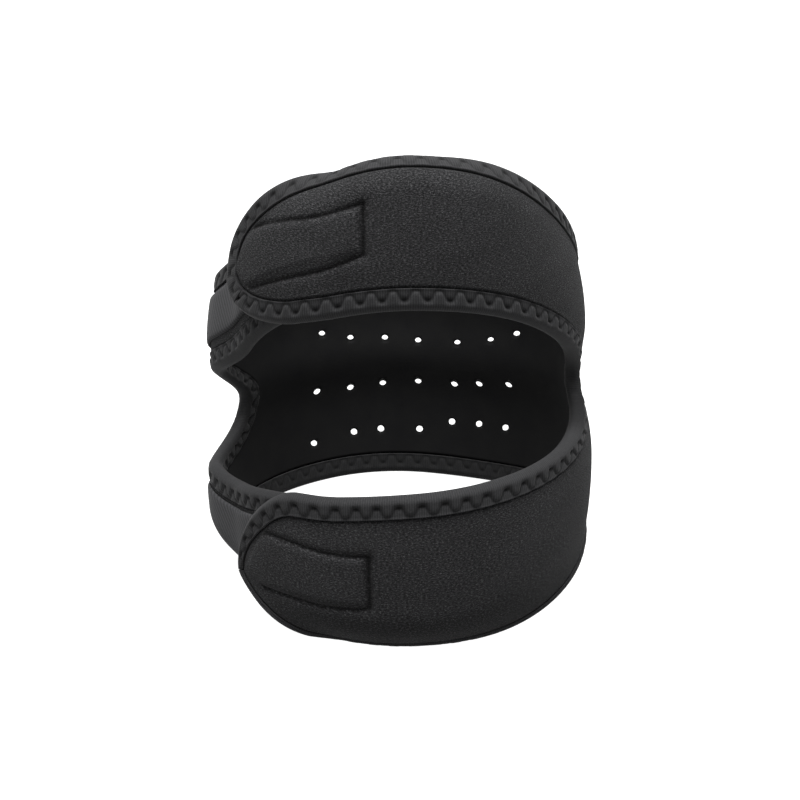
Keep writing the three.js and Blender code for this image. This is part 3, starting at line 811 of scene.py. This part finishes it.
def zigzag_relief(run, depth):
    """Height of the tape's leg in mm, and its painted shade, from the run along it and the depth inside
    the rim. The thread pulls the zigzag line down into a groove, with a pit at each turn near the rim,
    and the tape puffs up on both sides of it; a lip stands at the cut edge. The painted shade lies in
    the groove and is darkest in the pits."""
    line, angle, slope = zigzag_line(run)
    away = (depth - line) / np.sqrt(1 + slope**2)
    pit = np.exp(-(1 - np.cos(angle)) / PIT_LENGTH) * bell(depth - line, PIT_WIDTH)
    groove = bell(away, GROOVE_WIDTH)
    roll_side = ROLL_PUFF[0] * (1 - bell(np.minimum(away, 0), ROLL_PUFF[1]))
    edge_side = EDGE_PUFF[0] * (1 - bell(np.maximum(away, 0), EDGE_PUFF[1]))
    lip = CUT_LIP[0] * bell(depth - TAPE_LEG, CUT_LIP[1])
    sunk = GROOVE_DEPTH * groove + PIT_DEPTH * pit + TAPE_SINK
    fade = ease(depth, *TAPE_FADE)
    shade = np.clip(GROOVE_SHADE * groove + PIT_SHADE * pit, 0, 1) * fade
    return (roll_side + edge_side - sunk) * fade + lip, shade


def tape_section():
    """(depth, distance) along the tape's outer surface from one leg's cut edge round the roll to the
    other's, with each point's outward direction, and the same for its inner surface going back."""
    leg = np.linspace(TAPE_LEG, HALF_ROLL, 16)
    front = [(d, HALF_ROLL, 0.0, 1.0) for d in leg]
    roll = [
        (HALF_ROLL - HALF_ROLL * math.sin(a), HALF_ROLL * math.cos(a), -math.sin(a), math.cos(a))
        for a in np.linspace(0, np.pi, 13)[1:-1]
    ]
    back = [(d, -HALF_ROLL, 0.0, -1.0) for d in leg[::-1]]
    under = [(d, -HALF_TAPE_GAP) for d in np.linspace(TAPE_LEG, HALF_ROLL, 3)]
    bend = [
        (HALF_ROLL - HALF_TAPE_GAP * math.sin(a), -HALF_TAPE_GAP * math.cos(a))
        for a in np.linspace(0, np.pi, 5)[1:-1]
    ]
    over = [(d, HALF_TAPE_GAP) for d in np.linspace(HALF_ROLL, TAPE_LEG, 3)]
    inner = [(d, w, 0.0, 0.0) for d, w in under + bend + over]
    return np.array(front + roll + back + inner)


def tube_faces(columns, rows):
    """Quads of a closed section of rows points carried through columns stations, and both caps."""
    ring = np.concatenate([np.arange(rows), [0]])
    here = np.arange(columns - 1)[:, None] * rows
    near, far = here + ring[:-1], here + ring[1:]
    quads = np.stack([near, far, far + rows, near + rows], -1).reshape(-1, 4)
    caps = [list(range(rows))[::-1], [(columns - 1) * rows + k for k in range(rows)]]
    return list(quads) + caps


def edge_tape(name, runs, relief):
    """Folded tape over a stretch of the outline: the U section carried along evenly spaced stations,
    its outer surface raised by the given share of the zigzag relief, pressed flat where it stands on
    the floor."""
    stations, run = resampled(np.concatenate(runs), TAPE_STEP, CLEARANCE / 2, CLEARANCE / 2)
    depth, distance, out_depth, out_distance = tape_section().T
    outside = np.abs(out_depth) + np.abs(out_distance)
    height, shade = zigzag_relief(run[:, None], np.broadcast_to(depth, (len(run), len(depth))))
    uneven = TAPE_UNEVEN[0] * np.sin(run / TAPE_UNEVEN[1])[:, None]
    height = relief * height * outside + uneven * np.abs(out_distance)
    # The leg on the outer face is drawn in to its own length, and the relief on it with it
    drawn = ((outer_leg(stations) - HALF_ROLL) / (TAPE_LEG - HALF_ROLL))[:, None]
    on_outer = (distance > 0) & (depth > HALF_ROLL)
    depth = np.where(on_outer, HALF_ROLL + (depth - HALF_ROLL) * drawn, depth)
    height = np.where(on_outer, height * mix(NARROW_LEG_RELIEF, 1.0, drawn), height)
    points = section_points(stations, depth + out_depth * height, distance + out_distance * height)
    points[..., 2] = np.maximum(points[..., 2], FLOOR_PRESS)
    # Painted shade: the leg on the lining side is darker, and so is the whole tape where the opening ends
    lining = ease(-distance, TAPE_THICKNESS, HALF_ROLL)
    apex_shade = 1 - ease(np.abs(stations[:, 0, None] - APEX_TURN), *APEX_SHADE_TURNS)
    apex_shade = apex_shade * (np.abs(stations[:, 1, None] - 0.5) < APEX_SHADE_HALF_SHARE)
    shade = np.clip(shade * outside + LINING_SHADE * lining + APEX_SHADE * apex_shade, 0, 1)
    flat = np.stack(np.broadcast_arrays(run[:, None], depth, shade), -1)
    return mesh_object(name, [(points, tube_faces(*points.shape[:2]), flat, 0)])


# Loop strips and hook tape

def strip_piece(name, turns, low, high, near, far, relief, rows):
    """Closed flat strip on the wall between two lines of shares: outer face raised by relief, its
    border rounded down, inner face plain, joined all round."""
    line = np.linspace(0, 1, rows)
    share = mix(low[:, None], high[:, None], line)
    turn = np.repeat(turns[:, None], rows, 1)
    up = (share - low[:, None]) * loop_height(turn)
    down = (high[:, None] - share) * loop_height(turn)
    ends = np.minimum(turn - turns[0], turns[-1] - turn) / DEGREES_PER_MM
    border = np.minimum(np.minimum(up, down), ends)
    rounded = np.sqrt(np.clip(border / (2 * ROUNDED_BORDER), 0, 1))
    outside = mix(near + BORDER_SHARE * (far - near), far, rounded) + relief(turn, share, border)
    inside = np.full_like(outside, near)
    flat = flat_places(turn, share)
    inwards = far < near
    blocks = [
        (wall_point(turn, share, outside), grid_faces(len(turns), rows, flip=inwards), flat, 0),
        (wall_point(turn, share, inside), grid_faces(len(turns), rows, flip=not inwards), flat, 0),
    ]
    around = np.concatenate([
        np.arange(len(turns)) * rows,
        (len(turns) - 1) * rows + np.arange(1, rows),
        np.arange(len(turns) - 1)[::-1] * rows + rows - 1,
        np.arange(1, rows - 1)[::-1],
    ])
    wall_turn, wall_share = turn.ravel()[around], share.ravel()[around]
    side = np.stack([inside.ravel()[around], outside.ravel()[around]], -1)
    wall = wall_point(wall_turn[:, None], wall_share[:, None], side)
    flat_side = np.repeat(flat.reshape(-1, 3)[around][:, None], 2, 1)
    blocks.append((wall, grid_faces(len(around), 2, closed=True, flip=inwards), flat_side, 0))
    return mesh_object(name, blocks)


def strip_size(piece):
    """Flat width and length of a strip in metres: its reach round the loop on the flat cut, and the
    mean width, which is half of the strip's whole surface over that length."""
    places = np.empty(len(piece.data.vertices) * 3)
    piece.data.attributes["flat_mm"].data.foreach_get("vector", places)
    length = float(np.ptp(places[::3])) * MM
    return sum(face.area for face in piece.data.polygons) / 2 / length, length


def loop_strip(name, band, sign, inner_inset):
    """Loop strip on an arm's outer face, smooth, with its border pressed down."""
    turns = np.linspace(*STRAP_TURNS, STRAP_GRID[0])
    inner, outer = edges(turns, EDGE_FIELD, band, sign)
    inner = inner + sign * inner_inset / loop_height(turns)
    outer = outer - sign * STRAP_INSET / loop_height(turns)
    low, high = (inner, outer) if sign > 0 else (outer, inner)

    def relief(turn, share, border):
        return waves(turn, share, **STRAP_WAVES) - STRAP_EDGE_DIP * np.exp(-border / STRAP_EDGE_WIDTH)

    near = HALF_WALL + CLEARANCE
    return strip_piece(name, turns, low, high, near, near + STRAP_THICKNESS, relief, STRAP_GRID[1])


def hook_patch(name, band, sign, hook):
    """Hook tape under a band's end, within its stitched outline."""
    turns = np.linspace(*HOOK_TURNS, HOOK_GRID[0])
    inner, outer = edges(turns, EDGE_FIELD, band, sign)
    inset = HOOK_INSET / loop_height(turns)
    zone = TOP_ZONE if sign > 0 else BOTTOM_ZONE
    rim = outer - sign * (zone - EDGE_FIELD) / loop_height(turns)
    along = (turns - HOOK_TURNS[0]) / (HOOK_TURNS[1] - HOOK_TURNS[0])
    low = np.maximum(np.minimum(inner, rim) + inset, mix(hook["low"][0], hook["low"][1], along))
    high = np.minimum(np.maximum(inner, rim) - inset, mix(hook["high"][0], hook["high"][1], along))

    def relief(turn, share, border):
        return np.zeros_like(turn)

    near = -HALF_WALL - HOOK_CLEARANCE
    return strip_piece(name, turns, low, high, near, near - HOOK_THICKNESS, relief, HOOK_GRID[1])


# Materials

MULTIPLY = {"data_type": "RGBA", "blend_type": "MULTIPLY", 0: 1.0}


def linear(code):
    """sRGB hex to linear RGBA."""
    values = [int(code[i:i + 2], 16) / 255 for i in (1, 3, 5)]
    return [v / 12.92 if v <= 0.04045 else ((v + 0.055) / 1.055) ** 2.4 for v in values] + [1.0]


def add(tree, kind, settings=None, stops=(), **links):
    """Adds one node: settings are its properties or, by name or number, its inputs' values; stops are
    a colour ramp's (place, colour code) pairs from left to right; links join sockets of other nodes
    to its inputs, by name or as s with the input's number."""
    node = tree.nodes.new(kind)
    for key, value in (settings or {}).items():
        if isinstance(key, str) and hasattr(node, key):
            setattr(node, key, value)
        else:
            node.inputs[key].default_value = value
    for index, (place, code) in enumerate(stops):
        elements = node.color_ramp.elements
        element = elements[index] if index < 2 else elements.new(place)
        element.position, element.color = place, linear(code)
    for key, socket in links.items():
        tree.links.new(socket, node.inputs[int(key[1:]) if key[1:].isdigit() else key])
    return node


def new_material(name, roughness, sheen, sheen_roughness=0.5, specular=0.3):
    """A material with a cloth-like surface shader, and its tree."""
    material = bpy.data.materials.new(name)
    material.use_nodes = True
    tree = material.node_tree
    tree.nodes.clear()
    shader = add(tree, "ShaderNodeBsdfPrincipled", {
        "Roughness": roughness, "Sheen Weight": sheen, "Sheen Roughness": sheen_roughness,
        "Specular IOR Level": specular,
    })
    add(tree, "ShaderNodeOutputMaterial", Surface=shader.outputs[0])
    return material, tree, shader


def cloth_places(tree, scale=(1.0, 1.0, 1.0)):
    """The piece's flat-cut coordinates in mm, stretched by scale."""
    source = add(tree, "ShaderNodeAttribute", {"attribute_name": "flat_mm"})
    return add(tree, "ShaderNodeMapping", {"Scale": scale}, Vector=source.outputs["Vector"]).outputs[0]


def darkened_by_thread_and_painted_shade(tree, colour, darkest):
    """The colour times a share that falls from 1 to darkest as the shade in flat_mm rises to 1: painted
    shade in grooves, pits and hollows, and on the pile the patch's dark thread as well.
    """
    source = add(tree, "ShaderNodeAttribute", {"attribute_name": "flat_mm"})
    shade = add(tree, "ShaderNodeSeparateXYZ", Vector=source.outputs["Vector"])
    tone = add(tree, "ShaderNodeMapRange", {1: 0.0, 2: 1.0, 3: 1.0, 4: darkest}, s0=shade.outputs[2])
    return add(tree, "ShaderNodeMix", MULTIPLY, s6=colour, s7=tone.outputs[0]).outputs[2]


def cover(tree, shader, colour, height, strength, depth, invert=False):
    """Gives the surface its colour, and its relief as a bump of height over a depth in mm."""
    tree.links.new(colour, shader.inputs["Base Color"])
    settings = {"Strength": strength, "Distance": depth * MM, "invert": invert}
    bump = add(tree, "ShaderNodeBump", settings, Height=height)
    tree.links.new(bump.outputs[0], shader.inputs["Normal"])


def brushed_loop_pile():
    """Nylon loop pile, knitted, brushed and heather-dyed: a matt, fuzzy dark grey with short paler
    flecks lying along the band, so the eye sees a fine salt-and-pepper grain."""
    material, tree, shader = new_material("brushed_loop_pile", 0.95, 0.03, 0.45, 0.1)
    # Flecks are about 0.8 mm long and 0.3 mm high, as coarse as they need to show
    lying = cloth_places(tree, (0.62, 1.5, 1.0))
    flecks = add(tree, "ShaderNodeTexNoise", {"Scale": 2.1, "Detail": 4.0, "Roughness": 0.66}, Vector=lying)
    fibres = add(tree, "ShaderNodeTexNoise", {"Scale": 5.6, "Detail": 2.0, "Roughness": 0.6}, Vector=lying)
    grain = add(tree, "ShaderNodeMix", {"data_type": "FLOAT", 0: 0.4},
                s2=flecks.outputs[0], s3=fibres.outputs[0])
    heather = [(0.38, "#070708"), (0.46, "#171718"), (0.54, "#2a2a2b"), (0.63, "#525253")]
    colour = add(tree, "ShaderNodeValToRGB", stops=heather, Fac=grain.outputs[0])
    # Clouds about 20 mm long make the dye a little patchy
    clouds = add(tree, "ShaderNodeTexNoise", {"Scale": 0.07, "Detail": 3.0}, Vector=lying)
    patchy = add(tree, "ShaderNodeMapRange", {1: 0.3, 2: 0.7, 3: 0.86, 4: 1.12}, s0=clouds.outputs[0])
    tone = add(tree, "ShaderNodeMix", MULTIPLY, s6=colour.outputs[0], s7=patchy.outputs[0])
    # The patch's stitching darkens the pile: its dark thread and painted shade in its groove
    cover(tree, shader, darkened_by_thread_and_painted_shade(tree, tone.outputs[2], 0.22), grain.outputs[0], 0.9, 0.5)
    return material


def smooth_lining():
    """Plain jersey over foam rubber: close, smooth and nearly black, with a faint mottling."""
    material, tree, shader = new_material("smooth_jersey_lining", 0.85, 0.0, 0.5, 0.1)
    place = cloth_places(tree)
    # Grain 0.7 mm across in relief, mottling 8 mm across in colour
    grain = add(tree, "ShaderNodeTexNoise", {"Scale": 1.4, "Detail": 3.0}, Vector=place)
    mottling = add(tree, "ShaderNodeTexNoise", {"Scale": 0.12, "Detail": 4.0}, Vector=place)
    blacks = [(0.3, "#080809"), (0.7, "#0d0d0d")]
    colour = add(tree, "ShaderNodeValToRGB", stops=blacks, Fac=mottling.outputs[0])
    cover(tree, shader, colour.outputs[0], grain.outputs[0], 0.2, 0.12)
    return material


def ribbed_tape():
    """Polyester knit binding, finely ribbed across its length: matt dark grey, with painted shade where
    the zigzag thread pulls it in, on the leg on the lining side and where the opening ends."""
    material, tree, shader = new_material("ribbed_knit_binding", 0.85, 0.05, 0.4, 0.12)
    place = cloth_places(tree, (1.0, 1.0, 0.0))
    # Ribs 0.7 mm apart, uneven, and a grain 0.5 mm across
    bands = {"bands_direction": "X", "Scale": 0.45, "Distortion": 1.6, "Detail": 2.0, "Detail Scale": 2.0}
    ribs = add(tree, "ShaderNodeTexWave", bands, Vector=place)
    grain = add(tree, "ShaderNodeTexNoise", {"Scale": 1.9, "Detail": 4.0}, Vector=place)
    knit = add(tree, "ShaderNodeMix", {"data_type": "FLOAT", 0: 0.62},
               s2=ribs.outputs[1], s3=grain.outputs[0])
    greys = [(0.25, "#1f1f20"), (0.5, "#272728"), (0.8, "#313132")]
    colour = add(tree, "ShaderNodeValToRGB", stops=greys, Fac=knit.outputs[0])
    cover(tree, shader, darkened_by_thread_and_painted_shade(tree, colour.outputs[0], 0.3), knit.outputs[0], 0.3, 0.2)
    return material


def napped_loop_strip():
    """Low nylon loop strip: matt mid grey with faint slanting lines and a fine grain, smoother and
    paler than the bands."""
    material, tree, shader = new_material("low_loop_strip", 0.9, 0.05, 0.4, 0.1)
    place = cloth_places(tree)
    # Twill lines 1.8 mm apart, as coarse as they need to show, broken up by a grain 0.5 mm across
    bands = {"bands_direction": "DIAGONAL", "Scale": 0.25, "Distortion": 1.2,
             "Detail": 2.0, "Detail Scale": 2.0}
    twill = add(tree, "ShaderNodeTexWave", bands, Vector=place)
    grain = add(tree, "ShaderNodeTexNoise", {"Scale": 1.9, "Detail": 5.0, "Roughness": 0.6}, Vector=place)
    weave = add(tree, "ShaderNodeMix", {"data_type": "FLOAT", 0: 0.6},
                s2=twill.outputs[1], s3=grain.outputs[0])
    greys = [(0.25, "#2e2e2f"), (0.75, "#414143")]
    colour = add(tree, "ShaderNodeValToRGB", stops=greys, Fac=weave.outputs[0])
    cover(tree, shader, colour.outputs[0], weave.outputs[0], 0.3, 0.2)
    return material


def hook_tape():
    """Moulded nylon hook tape: near black, with rows of tiny hooks 1.3 mm apart."""
    material, tree, shader = new_material("moulded_hook_tape", 0.55, 0.0, 0.5, 0.4)
    place = cloth_places(tree, (0.77, 0.77, 1.0))
    hooks = add(tree, "ShaderNodeTexVoronoi", {"Scale": 1.0, "Randomness": 0.15}, Vector=place)
    blacks = [(0.1, "#242425"), (0.5, "#121213")]
    colour = add(tree, "ShaderNodeValToRGB", stops=blacks, Fac=hooks.outputs[0])
    cover(tree, shader, colour.outputs[0], hooks.outputs[0], 0.6, 0.5, invert=True)
    return material


def pale_floor():
    """A matt floor lit from below, as a light table is: evenly white, with hardly any shadow on it."""
    material, tree, shader = new_material("pale_studio_floor", 0.9, 0.0)
    shader.inputs["Base Color"].default_value = linear("#8a8a8a")
    shader.inputs["Emission Color"].default_value = (1, 1, 1, 1)
    shader.inputs["Emission Strength"].default_value = FLOOR_GLOW
    return material


# Stage

def make_camera():
    """The photograph's camera, fitted to the loop's hoops and pattern."""
    place, target = camera_place(), np.array(CAMERA_TARGET)
    data = bpy.data.cameras.new("photo_camera")
    data.sensor_width = SENSOR_WIDTH
    data.sensor_height = SENSOR_WIDTH
    data.lens = SENSOR_WIDTH * PHOTO_FOCAL_PIXELS / PHOTO_PIXELS
    data.clip_start, data.clip_end = 0.01, 20
    camera = bpy.data.objects.new("photo_camera", data)
    camera.location = Vector(to_part(place))
    camera.rotation_euler = Vector(place - target).to_track_quat("Z", "Y").to_euler()
    bpy.context.scene.collection.objects.link(camera)
    bpy.context.scene.camera = camera


def make_floor():
    """A wide pale floor at z = 0."""
    mesh = bpy.data.meshes.new("floor")
    half = FLOOR_HALF
    corners = [(-half, -half, 0), (half, -half, 0), (half, half, 0), (-half, half, 0)]
    mesh.from_pydata(corners, [], [(0, 1, 2, 3)])
    floor = bpy.data.objects.new("floor", mesh)
    floor.data.materials.append(pale_floor())
    bpy.context.scene.collection.objects.link(floor)
    # The underside stays dark, as in the photograph
    floor.visible_diffuse = False


def make_softbox():
    """A broad rectangular light overhead, turned towards the strap's middle."""
    data = bpy.data.lights.new("overhead_softbox", "AREA")
    data.shape = "RECTANGLE"
    data.size, data.size_y = SOFTBOX_SIZE
    data.energy = SOFTBOX_WATTS
    light = bpy.data.objects.new("overhead_softbox", data)
    light.location = SOFTBOX_PLACE
    back = Vector(SOFTBOX_PLACE) - Vector(SOFTBOX_AIM)
    light.rotation_euler = back.to_track_quat("Z", "Y").to_euler()
    bpy.context.scene.collection.objects.link(light)


def make_surround():
    """A pale surround that grows dark below the horizon, shown with plain screen colours."""
    world = bpy.data.worlds.new("pale_surround")
    world.use_nodes = True
    tree = world.node_tree
    background = tree.nodes["Background"]
    background.inputs[0].default_value = (1, 1, 1, 1)
    direction = add(tree, "ShaderNodeTexCoord")
    height = add(tree, "ShaderNodeSeparateXYZ", Vector=direction.outputs["Generated"])
    settings = {1: HORIZON_BLEND, 2: 0.0, 3: LIGHT_FROM_BELOW, 4: SURROUND_LIGHT}
    light = add(tree, "ShaderNodeMapRange", settings, s0=height.outputs[2])
    tree.links.new(light.outputs[0], background.inputs[1])
    bpy.context.scene.world = world
    bpy.context.scene.view_settings.view_transform = "Standard"


def dress(piece, materials, slot, *nodes):
    """Gives a piece its materials and its body, and hides the nodes that it stands for. The slot is not
    used.
    """
    for material in materials:
        piece.data.materials.append(material)
    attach(piece, "root")
    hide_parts(*nodes)


make_camera()
make_floor()
make_softbox()
make_surround()

wall = padded_wall()
dress(wall, [brushed_loop_pile(), smooth_lining()], "pile_fabric", "padded_wall")

runs = outline_runs()
tape_material = ribbed_tape()
seam = PATCH_COLUMNS // 5
upper_band_low = runs[4]
# Each tape's stretch of the outline, and its share of the zigzag relief
tape_stretches = {
    "binding_bottom": ([runs[0], runs[1][:1]], RIM_TAPE_RELIEF),
    "binding_notch": ([runs[1], runs[2], runs[3][:1]], 1.0),
    "binding_top": ([runs[3], upper_band_low[:seam + 1]], RIM_TAPE_RELIEF),
    "binding_opening": ([upper_band_low[seam:], runs[5], runs[0][:1]], 1.0),
}
for node, (stretch, relief) in tape_stretches.items():
    tape = edge_tape(f"{node}_tape", stretch, relief)
    dress(tape, [tape_material], "edge_tape", node)
    length = resampled(np.concatenate(stretch), TAPE_STEP)[1][-1]

loop_material = napped_loop_strip()
upper_strip = loop_strip("upper_loop_strip_pile", UPPER_BAND, 1, UPPER_STRAP_LOW_INSET)
dress(upper_strip, [loop_material], "loop_fabric", "upper_loop_strip")
lower_strip = loop_strip("lower_loop_strip_pile", LOWER_BAND, -1, STRAP_INSET)
dress(lower_strip, [loop_material], "loop_fabric", "lower_loop_strip")

hook_material = hook_tape()
upper_hooks = hook_patch("upper_hook_patch_tape", UPPER_BAND, 1, UPPER_HOOK)
dress(upper_hooks, [hook_material], "hook_tape", "upper_hook_patch")
lower_hooks = hook_patch("lower_hook_patch_tape", LOWER_BAND, -1, LOWER_HOOK)
dress(lower_hooks, [hook_material], "hook_tape", "lower_hook_patch")

for strip in (upper_strip, lower_strip, upper_hooks, lower_hooks):
    strip_size(strip)
